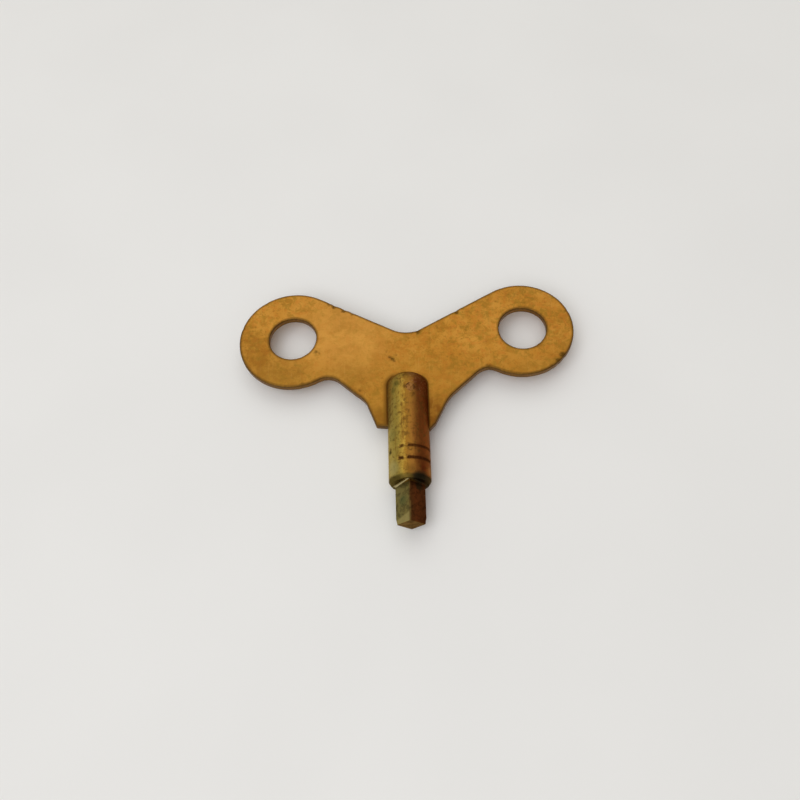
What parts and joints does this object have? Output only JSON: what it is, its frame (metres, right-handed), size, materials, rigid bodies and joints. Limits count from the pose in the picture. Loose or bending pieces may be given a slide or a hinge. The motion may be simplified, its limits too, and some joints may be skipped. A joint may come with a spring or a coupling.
{
  "type": "radiator bleed key",
  "caption": "Brass radiator bleed key: flat butterfly bow with round finger holes, pinned in a slotted round shank that ends in a male square drive.",
  "frame": {"origin": "centre of the square drive's end face, on the shank's axis", "axes": "+X across the bow, +Y up the shank from the drive to the bow, +Z out of the bow's face; lying flat, the key rests 5 mm below the origin"},
  "size_m": [0.0851, 0.0641, 0.01],
  "materials": {
    "bow_brass": "satin, lightly tarnished",
    "shank_brass": "satin, olive-brown tarnish",
    "pin_brass": "dressed flush, tarnished"
  },
  "bodies": {
    "root": {"bow_plate": "bow_brass", "shank": "shank_brass", "cross_pin": "pin_brass"}
  },
  "joints": []
}
